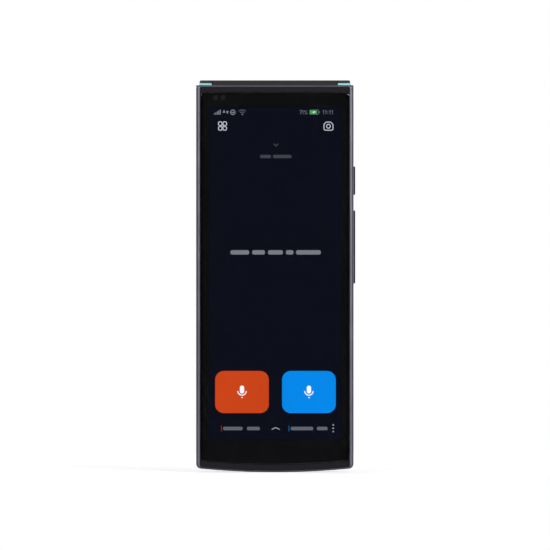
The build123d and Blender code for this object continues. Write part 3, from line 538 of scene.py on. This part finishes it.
# %% [markdown]
# ## From loops to a thin piece
# The flat curve is filled while it is still in millimetres, because the filler skips shapes as small as
# these when they are in metres. Then each point is placed: right stays right, up becomes height, and the
# thickness grows from the face that carries it towards the viewer.

# %% The filler
def add_piece(name, mesh, body):
    """Puts a finished mesh into the scene, on a body of the unit."""
    piece = bpy.data.objects.new(name, mesh)
    scene.collection.objects.link(piece)
    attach(piece, body)
    print(name, len(mesh.polygons), "faces")
    return piece


def thin_piece(name, loops, face, thickness, body, material, towards=-1):
    """A filled flat piece that stands on a face (mm) and grows towards the front (-1) or the back (1)."""
    curve = bpy.data.curves.new(name, "CURVE")
    curve.dimensions, curve.fill_mode, curve.extrude = "2D", "BOTH", thickness / 2
    for loop in loops:
        spline = curve.splines.new("POLY")
        spline.points.add(len(loop) - 1)
        for point, (right, up) in zip(spline.points, loop):
            point.co = (right, up, 0, 1)
        spline.use_cyclic_u = True
    drawing = bpy.data.objects.new(name, curve)
    scene.collection.objects.link(drawing)
    mesh = bpy.data.meshes.new_from_object(drawing)
    bpy.data.objects.remove(drawing)
    bpy.data.curves.remove(curve)
    mesh.name = name
    for vertex in mesh.vertices:
        right, up, out = vertex.co
        vertex.co = (right * MM, (face + towards * (out + thickness / 2)) * MM, up * MM)
    draft = bmesh.new()
    draft.from_mesh(mesh)
    bmesh.ops.remove_doubles(draft, verts=draft.verts, dist=0.0005 * MM)
    bmesh.ops.recalc_face_normals(draft, faces=draft.faces)
    draft.to_mesh(mesh)
    draft.free()
    mesh.materials.clear()
    mesh.materials.append(material)
    add_piece(name, mesh, body)


layer = 0.012
print("each layer under the glass is", layer, "mm thick")

# %% [markdown]
# ## Black ink under the front glass
# The border of the screen is black ink on the back of the cover glass. It leaves a window for the lit
# screen and two small round ones for the sensors at the top left. Its outline follows the glass, curved
# chin and all, so it is worked out from the same chin curve: a large circle that dips lowest in the middle.
# A hair-thin ring in the deck's plum tone runs outside the black, and makes its round corners show.

# %% The ink border
def ink_with_painted_edge(name, middle_tone, painted_edge_tone, painted_edge_start, painted_edge_end):
    """Ink, darker towards the long edges: a painted reflection of the dark room in the rolled glass edge."""
    material, recipe, place = new_finish(name)
    across = recipe.calculate("ABSOLUTE", recipe.add("SeparateXYZ", {0: place}).outputs["X"])
    # painted reflection: the ink turns darker towards the long edges
    rim = recipe.span(across, 0.0, 1.0, start=painted_edge_start * MM, end=painted_edge_end * MM)
    speck = recipe.noise(place, 0.5, 2.0)
    body = recipe.blend(speck, shaded(middle_tone, 0.92), middle_tone)
    recipe.finish(Base_Color=recipe.blend(rim, body, painted_edge_tone), Roughness=0.5, Specular_IOR_Level=0.0)
    return material


# Each ink below gets a painted reflection: darker towards its long edges, where the rolled glass would mirror
# the dark room.
ink_black = ink_with_painted_edge("ink_black", screen_colour(29, 29, 32), screen_colour(8, 8, 9), 25.0, 26.2)
rim_ink = ink_with_painted_edge("rim_ink", screen_colour(50, 46, 53), screen_colour(46, 42, 49), 25.0, 26.2)
guest_ink = ink_with_painted_edge("guest_ink", screen_colour(28, 28, 31), screen_colour(16, 16, 17), 23.6, 25.4)
smoked_lens = grained("smoked_lens", screen_colour(50, 50, 56), 0.25, grain=0.4, relief=0.002, shade=0.08,
                      Specular_IOR_Level=0.0)

glass_half, glass_back, glass_high = box_mm("cover_glass")[1]
glass_low, glass_corner, chin_radius = 2.73, 1.7, 275.0


def chin_rise(right):
    """How far the chin curve has risen at a distance from the middle."""
    return chin_radius - math.sqrt(chin_radius**2 - right**2)


def glass_loop(inset, narrower=0.0):
    """The outline of the cover glass, moved inwards, and at the long sides a little more."""
    half, high, corner = glass_half - inset - narrower, glass_high - inset, glass_corner - inset
    straight = half - corner
    low_corner = glass_low + inset + chin_rise(straight) + corner
    loop = arc_points(straight, high - corner, corner, 0, 90, 8)
    loop += arc_points(-straight, high - corner, corner, 90, 180, 8)
    loop += arc_points(-straight, low_corner, corner, 180, 264, 8)
    for step in range(-11, 12):
        right = straight * step / 12
        loop.append((right, glass_low + inset + chin_rise(right)))
    loop += arc_points(straight, low_corner, corner, 276, 360, 8)
    return loop


screen_half, screen_low, screen_high, screen_corner = 23.6, 11.5, 129.5, 0.4
sensors_low, sensors_high = box_mm("front_sensors")
sensor_radius, sensor_gap, sensor_up = 0.95, 0.01, (sensors_low[2] + sensors_high[2]) / 2
sensor_rights = (sensors_low[0] + sensor_radius, sensors_high[0] - sensor_radius)
screen_window = box_loop(-screen_half, screen_half, screen_low, screen_high, screen_corner)
sensor_windows = [disc_loop(right, sensor_up, sensor_radius) for right in sensor_rights]
sensor_discs = [disc_loop(right, sensor_up, sensor_radius - sensor_gap) for right in sensor_rights]
ink_inset, ink_side_inset, rim_inset = 0.14, 0.26, 0.1
ink_outline = glass_loop(ink_inset, ink_side_inset)
thin_piece("ink_border", [ink_outline, screen_window] + sensor_windows, glass_back, layer,
           "main_unit", ink_black)
thin_piece("ink_rim", [glass_loop(rim_inset), ink_outline], glass_back, layer,
           "main_unit", rim_ink)
thin_piece("sensor_windows", sensor_discs, glass_back, layer, "main_unit", smoked_lens)

# %% [markdown]
# ## Light from the screen
# A screen makes its own light, so its colours are emission and need no lamp. Close up the light is not
# even: it comes through a grid of tiny dots, and the lamp behind them drifts a little from side to side. A
# wave across and a wave up make the dots, and slow noise the drift. The shader is black and without gloss
# underneath, because the screen is bonded to its glass and no lamp washes the picture out.

# %% Lit colours
screen_gain = 1.05          # makes up for what the glass keeps back
dot_pitch, dot_share, backlight_share = 0.17, 0.02, 0.03


def lit(name, colour):
    """A colour of light, uneven by a small share for the dots and another for the lamp behind them."""
    material, recipe, place = new_finish(name)
    columns = recipe.waves(place, dot_pitch, "X")
    rows = recipe.waves(place, dot_pitch, "Z")
    dots = recipe.span(recipe.calculate("MULTIPLY", columns, rows), -dot_share, dot_share, 0, 1)
    backlight = recipe.span(recipe.noise(place, 20.0, 1.0), -backlight_share, backlight_share)
    uneven = dot_share + backlight_share
    share = recipe.span(recipe.calculate("ADD", dots, backlight), 0.0, 1.0, start=-uneven, end=uneven)
    dim, bright = (shaded(colour, screen_gain * (1 + side * uneven)) for side in (-1, 1))
    recipe.finish(Base_Color=(0.002, 0.002, 0.003, 1), Specular_IOR_Level=0.0,
                  Emission_Color=recipe.blend(share, dim, bright), Emission_Strength=1.0)
    return material


night = lit("lit_night", screen_colour(6.5, 9.5, 22))
pale = lit("lit_pale", screen_colour(196, 198, 208))
middling = lit("lit_middling", screen_colour(134, 136, 146))
dimmer = lit("lit_dim", screen_colour(108, 110, 121))
word_grey = lit("lit_word_grey", screen_colour(120, 122, 132))
word_dim = lit("lit_word_dim", screen_colour(97, 99, 110))
faint = lit("lit_faint", screen_colour(62, 64, 76))
white = lit("lit_white", screen_colour(250, 250, 252))
orange = lit("lit_orange", screen_colour(201, 67, 21))
blue = lit("lit_blue", screen_colour(0, 136, 235))
green = lit("lit_green", screen_colour(52, 178, 74))
print("screen colours ready")

# %% [markdown]
# ## The main screen's ground and its two talk keys
# The screen shows a night-blue ground with two large keys near the bottom, one for each speaker: press,
# hold and talk. They are wide rounded boxes, each with a microphone sign: a capsule, a cradle line and a
# dot. What lies on the ground stands one layer nearer to the viewer, and what lies on a key stands one
# more.

# %% Ground, keys and microphone signs
ground_face = glass_back - layer
key_face = ground_face - layer
ground_margin = 0.02


def on_screen(name, loops, colour, face=ground_face):
    """A shape of light on the main screen."""
    thin_piece(name, loops, face, layer, "main_unit", colour)


def ground_loop(half, low, high):
    """A screen's ground, a hair smaller than the window in the ink."""
    return box_loop(ground_margin - half, half - ground_margin, low + ground_margin, high - ground_margin,
                    screen_corner)


def microphone_sign(right, up):
    """Capsule, cradle and dot, about 4.4 mm tall."""
    capsule = box_loop(right - 0.77, right + 0.77, up - 0.54, up + 2.28, 0.76)
    cradle = arc_points(right, up + 0.38, 1.5, 186, 354, 20)
    dot = box_loop(right - 0.3, right + 0.3, up - 2.12, up - 1.76, 0.16, 5)
    return [capsule, dot] + pen_line(cradle, 0.36)


on_screen("screen_ground", [ground_loop(screen_half, screen_low, screen_high)], night, glass_back)
half_key, key_low, key_high, key_corner = 9.51, 20.96, 35.9, 3.1
key_up = (key_low + key_high) / 2
talk_keys = {"orange_talk_key": (-11.65, orange), "blue_talk_key": (12.07, blue)}
for name, (right, colour) in talk_keys.items():
    on_screen(name, [box_loop(right - half_key, right + half_key, key_low, key_high, key_corner)], colour)
    on_screen(name + "_sign", microphone_sign(right + 0.01, key_up), white, key_face)

# %% [markdown]
# ## Status row
# Small signs tell the state of the unit: signal bars, data arrows, a globe, a radio fan, the charge as a
# number and as a battery, and the time. Numbers are drawn as pen lines, so they need no font.

# %% Signals, battery and clock
row_foot = 126.85
digit_size, digit_width = 0.84, 0.18
digit_strokes = {
    "1": [(0.08, 1.35), (0.42, 1.65), (0.42, 0.08)],
    "7": [(0.0, 1.6), (0.78, 1.6), (0.28, 0.08)],
}


def digit(sign, right):
    """One digit of the status row."""
    stroke = [(right + digit_size * x, row_foot + digit_size * y) for x, y in digit_strokes[sign]]
    return pen_line(stroke, digit_width)


def fan_sign(right, up):
    """Two arcs above a dot."""
    size = 0.9
    loops = [disc_loop(right, up, 0.32 * size, 16)]
    for radius in (1.15, 1.95):
        loops += pen_line(arc_points(right, up - 0.2 * size, radius * size, 48, 132, 10), 0.2 * size)
    return loops


signal = []
for bar in range(5):
    left = -21.58 + 0.52 * bar
    signal.append(box_loop(left, left + 0.3, row_foot - 0.1, row_foot + 0.31 + 0.34 * bar, 0.08, 3))
arrows = [[(-18.5, 127.43), (-17.55, 127.43), (-18.02, 128.5)],
          [(-17.3, 128.0), (-16.82, 126.9), (-16.35, 128.0)]]
globe_right, globe_up = -14.9, 127.56
globe = pen_line(disc_loop(globe_right, globe_up, 0.87, 28), 0.17, closed=True)
meridian = [(globe_right + 0.38 * x, globe_up + 0.8 * y) for x, y in disc_loop(0, 0, 1, 24)]
equator = box_loop(globe_right - 0.8, globe_right + 0.8, globe_up - 0.06, globe_up + 0.06, 0.05, 3)
clock = [disc_loop(18.76, up, 0.14, 12) for up in (127.15, 127.85)]
for right in (16.96, 17.8, 19.24, 20.08):
    clock += digit("1", right)
charge = digit("7", 8.82) + digit("1", 9.62)
charge += pen_line([(10.62, 126.9), (11.3, 128.22)], 0.15)
charge += [disc_loop(10.6, 128.0, 0.23, 12), disc_loop(11.34, 127.12, 0.23, 12)]
battery = pen_line(box_loop(12.3, 15.55, row_foot, 128.4, 0.4, 4), 0.17, closed=True)
battery += [box_loop(15.7, 15.94, 127.35, 127.9, 0.1, 3)]
bolt = [(13.3, 127.52), (14.15, 128.1), (13.95, 127.7), (14.4, 127.74), (13.55, 127.16), (13.75, 127.56)]
on_screen("status_signs", signal + arrows + globe, middling)
on_screen("globe_lines", [equator] + pen_line(meridian, 0.12, closed=True), middling, key_face)
on_screen("row_signs", fan_sign(-11.52, 126.82) + clock + charge + battery, dimmer)
on_screen("charge_fill", [box_loop(12.5, 14.95, 127.03, 128.22, 0.22, 4)], green)
on_screen("charge_bolt", [bolt], white, key_face)

# %% [markdown]
# ## Menu signs, words and the bottom row
# A menu sign of four petals and a camera sign stand below the status row, and a chevron, two language marks
# and three dots fill the bottom row. Words are set as plain rounded bars: the unit's makers choose the
# wording, so the model keeps only its place, rhythm and tone.

# %% Menu, camera, words and dots
petal_half, petal_reach = 0.635, (0.81, 0.85)
petal_line, camera_line = 0.29, 0.3


def petal(middle_right, middle_up, sharp_corner):
    """A square outline with three round corners and one that is nearly sharp."""
    loop = []
    for corner, (x, y) in enumerate(((1, 1), (-1, 1), (-1, -1), (1, -1))):
        radius = 0.16 if corner == sharp_corner else 0.45
        loop += arc_points(middle_right + x * (petal_half - radius), middle_up + y * (petal_half - radius),
                           radius, 90 * corner, 90 * corner + 90, 6)
    return pen_line(loop, petal_line, closed=True)


menu_right, menu_up = -18.55, 122.71
menu = []
for x, y, sharp_corner in ((-1, 1, 3), (1, 1, 2), (-1, -1, 0), (1, -1, 1)):
    menu += petal(menu_right + x * petal_reach[0], menu_up + y * petal_reach[1], sharp_corner)
camera_right, camera_up = 19.0, 122.68
camera_corners = [(-1.0, -0.85, 0.6, 180, 270), (1.0, -0.85, 0.6, 270, 360), (1.2, 0.45, 0.4, 0, 45),
                  (0.62, 1.03, 0.4, 45, 90), (-0.62, 1.03, 0.4, 90, 135), (-1.2, 0.45, 0.4, 135, 180)]
camera_outline = []
for x, y, radius, start, end in camera_corners:
    camera_outline += arc_points(camera_right + x, camera_up + y, radius, start, end, 5)
camera_sign = pen_line(camera_outline, camera_line, closed=True)
camera_sign += pen_line(disc_loop(camera_right, camera_up - 0.06, 0.68, 28), camera_line, closed=True)
on_screen("menu_signs", menu + camera_sign, pale)


def word_bars(words, low, high):
    """Words as rounded bars between two heights."""
    return [box_loop(left, right, low, high, (high - low) * 0.42, 6) for left, right in words]


prompt = word_bars([(-15.75, -9.1), (-8.05, -3.5), (-2.45, 2.85), (3.9, 6.6), (7.5, 16.3)], 77.15, 78.7)
on_screen("prompt_words", prompt, word_grey)
history = word_bars([(-5.24, -1.35), (-0.65, 5.9)], 111.3, 112.5)
history += pen_line([(-0.35, 116.35), (0.37, 115.65), (1.09, 116.35)], 0.4)
on_screen("history_words", history, faint)
languages = word_bars([(-18.35, -11.4), (-9.9, -5.3), (5.6, 13.6), (14.9, 18.7)], 14.88, 16.12)
on_screen("language_words", languages, word_dim)
bottom_signs = pen_line([(-1.04, 15.22), (0.29, 15.84), (1.62, 15.22)], 0.22)
bottom_signs += [disc_loop(20.68, up, 0.22, 16) for up in (16.75, 15.58, 14.42)]
on_screen("bottom_signs", bottom_signs, pale)
for name, left, colour in (("orange_mark", -18.99, orange), ("blue_mark", 4.92, blue)):
    on_screen(name, [box_loop(left, left + 0.12, 14.5, 16.5, 0.05, 3)], colour)

# %% [markdown]
# ## The guest screen
# The lid carries the second screen, for the person across the table. It stands upright when the lid is
# open, so everything on it is drawn upside down while the lid is shut. It shows one of the talk keys, two
# lines of words and a short status row, under its own ink border.

# %% Ink, ground and signs for the guest
guest_half, guest_low, guest_high = 22.0, 53.95, 123.95
guest_middle = (guest_low + guest_high) / 2
(glass_left, _, glass_bottom), (glass_right, guest_back, glass_top) = box_mm("guest_glass")
guest_face = guest_back - layer


def flipped(loops):
    """Turns loops upside down about the guest screen's middle."""
    return [[(-right, 2 * guest_middle - up) for right, up in loop] for loop in loops]


def on_guest_screen(name, loops, colour, face=guest_face):
    """A shape of light on the lid's screen."""
    thin_piece(name, flipped(loops), face, layer, "lid", colour)


ink_gap = 0.12
guest_outline = box_loop(glass_left + ink_gap, glass_right - ink_gap, glass_bottom + ink_gap,
                         glass_top - ink_gap, 0.8)
guest_window = box_loop(-guest_half, guest_half, guest_low, guest_high, screen_corner)
thin_piece("guest_ink_border", [guest_outline, guest_window], guest_back, layer,
           "lid", guest_ink)
thin_piece("guest_ground", [ground_loop(guest_half, guest_low, guest_high)], guest_back, layer,
           "lid", night)
on_guest_screen("guest_talk_key", [box_loop(-9.7, 9.7, guest_low + 6.0, guest_low + 21.0, 3.2)], blue)
on_guest_screen("guest_talk_sign", microphone_sign(0, guest_low + 13.3), white, guest_face - layer)
first_line, second_line, word_height = guest_middle + 10.0, guest_middle + 5.2, 2.2
guest_words = word_bars([(-15.5, -8.0), (-7.0, 1.5), (2.6, 6.2), (7.3, 15.5)], first_line,
                        first_line + word_height)
guest_words += word_bars([(-11.0, -5.2), (-4.2, 3.8), (4.9, 11.0)], second_line, second_line + word_height)
on_guest_screen("guest_words", guest_words, pale)
guest_status = fan_sign(-18.9, guest_high - 3.0)
guest_status += pen_line(box_loop(15.6, 18.9, guest_high - 3.1, guest_high - 1.4, 0.42, 4), 0.2, closed=True)
guest_status += [box_loop(19.05, 19.3, guest_high - 2.55, guest_high - 1.95, 0.1, 3)]
on_guest_screen("guest_status", guest_status, dimmer)

# %% [markdown]
# ## A soft line on the lid's rim
# The lid closes on small bumpers, which leave a gap of a few tenths. A thin rubber line runs round the rim,
# a hair lower than the bumpers: it keeps grit off the guest screen and closes the slit of light that would
# show through the gap from the side. It is one flat ring, so the same pens and the same filler make it.

# %% Rubber line round the guest screen
bumpers_low, bumpers_high = box_mm("lid_bumpers")
lid_low, lid_high = box_mm("lid_shell")
rim_face = bumpers_high[1]
seal_clearance, seal_inset, seal_width, seal_corner, seal_above_glass = 0.02, 0.35, 0.55, 0.8, 1.03
seal_height = rim_face - bumpers_low[1] - seal_clearance
seal_side, seal_bottom = lid_high[0] - seal_inset, lid_low[2] + seal_inset
seal_top = glass_top + seal_above_glass
seal_loops = [box_loop(-seal_side + step, seal_side - step, seal_bottom + step, seal_top - step,
                       seal_corner - step) for step in (0.0, seal_width)]
thin_piece("lid_seal", seal_loops, rim_face, seal_height, "lid", bumper_rubber)

# %% [markdown]
# ## The rear camera's lens
# A small camera is a stack of dark steps that lead down to a domed front glass with a violet coating. The
# steps keep stray light out. They are turned on a lathe, so one profile is spun round the lens axis, and
# the dome is the same kind of spin. Ink behind the window hides all but the opening.

# %% Spun lens pieces
def spun_piece(name, profile, middle, material):
    """Spins a profile of (radius, depth) points in mm on the lid, round the axis that runs front to back."""
    mesh = bpy.data.meshes.new(name)
    draft = bmesh.new()
    ring = []
    for radius, depth in profile:
        ring.append(draft.verts.new(((middle[0] + radius) * MM, depth * MM, middle[1] * MM)))
    edges = [draft.edges.new(pair) for pair in zip(ring, ring[1:] + ring[:1])]
    bmesh.ops.spin(draft, geom=ring + edges, cent=(middle[0] * MM, 0, middle[1] * MM), axis=(0, 1, 0),
                   angle=2 * math.pi, steps=64, use_merge=True)
    bmesh.ops.remove_doubles(draft, verts=draft.verts, dist=0.001 * MM)
    bmesh.ops.recalc_face_normals(draft, faces=draft.faces)
    draft.to_mesh(mesh)
    draft.free()
    mesh.materials.append(material)
    mesh.polygons.foreach_set("use_smooth", [True] * len(mesh.polygons))
    mesh.set_sharp_from_angle(angle=math.radians(30))
    return add_piece(name, mesh, "lid")


window_low, window_high = box_mm("camera_window")
lens_middle = ((window_low[0] + window_high[0]) / 2, (window_low[2] + window_high[2]) / 2)
module_high = box_mm("camera_module")[1]
lens_sunk, lens_depth = 0.01, 0.42
module_face = module_high[1] - lens_sunk
module_floor = module_face - lens_depth
lens_coating = grained("lens_coating", screen_colour(34, 20, 60), 0.05, grain=0.6, relief=0.0005, shade=0.25,
                       Coat_Weight=1.0, Coat_Roughness=0.02)
lens_black = grained("lens_black", screen_colour(20, 20, 21), 0.42, grain=0.08, relief=0.002)

barrel_radius, opening_radius, step_width, step_height = 1.29, 0.86, 0.1, 0.08
lens_profile = [(barrel_radius, module_face), (barrel_radius, module_floor), (opening_radius, module_floor)]
for step in range(3):
    radius, depth = opening_radius + step_width * step, module_floor + step_height * (step + 1)
    lens_profile += [(radius, depth), (radius + step_width, depth)]
lens_profile.append((lens_profile[-1][0], module_face))
spun_piece("lens_steps", lens_profile, lens_middle, lens_black)
dome_radius, dome_rise, dome_foot = 0.85, 0.22, 0.02
dome = [(0.0, module_floor), (dome_radius, module_floor)]
for step in range(10):
    turn = math.radians(10 * step)
    dome.append((dome_radius * math.cos(turn), module_floor + dome_foot + dome_rise * math.sin(turn)))
spun_piece("lens_front_element", dome, lens_middle, lens_coating)
ink_radius, pupil_radius = 3.27, 1.72
window_ink = [disc_loop(*lens_middle, ink_radius, 64), disc_loop(*lens_middle, pupil_radius, 48)]
thin_piece("lens_window_ink", window_ink, window_low[1], layer, "lid", lens_black, towards=1)

# %% [markdown]
# ## The lamp beside the lens
# The lamp is a yellow phosphor chip under a small clear plate with ring-shaped ridges, which spread its
# light. The ridges are a saw-tooth profile spun round the lamp's axis. The chip's yellow is given to the
# middle faces, and the plate's milky tone to the rest. It takes the place of the plain solid lens.

# %% Ridged lamp plate
flash_low, flash_high = box_mm("flash_lens")
flash_middle = ((flash_low[0] + flash_high[0]) / 2, (flash_low[2] + flash_high[2]) / 2)
flash_radius, flash_face = (flash_high[0] - flash_low[0]) / 2, flash_high[1]
ridge_count, ridge_pitch, ridge_depth, chip_radius = 6, 0.2, 0.09, 0.72
bevel_depth, bevel_width, first_ridge = 0.12, 0.1, 0.22
profile = [(0.0, flash_low[1]), (flash_radius, flash_low[1]), (flash_radius, flash_face - bevel_depth),
           (flash_radius - bevel_width, flash_face)]
for ridge in range(ridge_count):
    radius = flash_radius - first_ridge - ridge_pitch * ridge
    profile += [(radius, flash_face), (radius - 0.02, flash_face - ridge_depth)]
profile += [(0.16, flash_face - 0.03), (0.0, flash_face - 0.02)]
lamp_plate = spun_piece("flash_plate", profile, flash_middle, flash_resin)
phosphor = grained("phosphor", screen_colour(226, 190, 66), 0.3, grain=0.12, relief=0.004, cells=True)
lamp_plate.data.materials.append(phosphor)
for face in lamp_plate.data.polygons:
    off_axis = math.hypot(face.center.x / MM - flash_middle[0], face.center.z / MM - flash_middle[1])
    face.material_index = 1 if off_axis < chip_radius else 0
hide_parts("flash_lens")
print("lamp ridges:", ridge_count, "pitch", ridge_pitch, "mm")

# %% [markdown]
# ## Contacts in the charging port
# The tongue in the port carries a row of flat contacts on each side. Each row is a set of narrow gilt bars,
# drawn with the same flat pens and laid on the tongue's two faces.

# %% Twelve gilt bars on each side
gilt = brushed("gilt", screen_colour(214, 172, 92), 0.25, squeeze=(1, 1, 20))
tongue_low, tongue_high = box_mm("usb_tongue")
tongue_middle, tongue_half = (tongue_low[1] + tongue_high[1]) / 2, 0.35
contact_count, contact_pitch, contact_half, contact_height = 12, 0.5, 0.13, 0.02
contact_low, contact_high = 1.8, 4.0
bars = []
for contact in range(contact_count):
    right = contact_pitch * (contact - (contact_count - 1) / 2)
    bars.append(box_loop(right - contact_half, right + contact_half, contact_low, contact_high, 0.06, 3))
for name, towards in (("port_contacts_front", -1), ("port_contacts_back", 1)):
    thin_piece(name, bars, tongue_middle + towards * tongue_half, contact_height,
               "main_unit", gilt, towards)

# %% [markdown]
# ## Compare the sizes
# The box of the dressed unit is set beside the box of the solid model, and the last line prints the
# largest difference between them, in mm.

# %% Both boxes side by side
dressed_low, dressed_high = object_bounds()
sizes = {"cad": [list(cad_low), list(cad_high)], "visual": [list(dressed_low), list(dressed_high)]}
growth = max(abs(a - b) for a, b in zip(sum(sizes["cad"], []), sum(sizes["visual"], [])))
print("grown by", round(1000 * growth, 4), "mm")
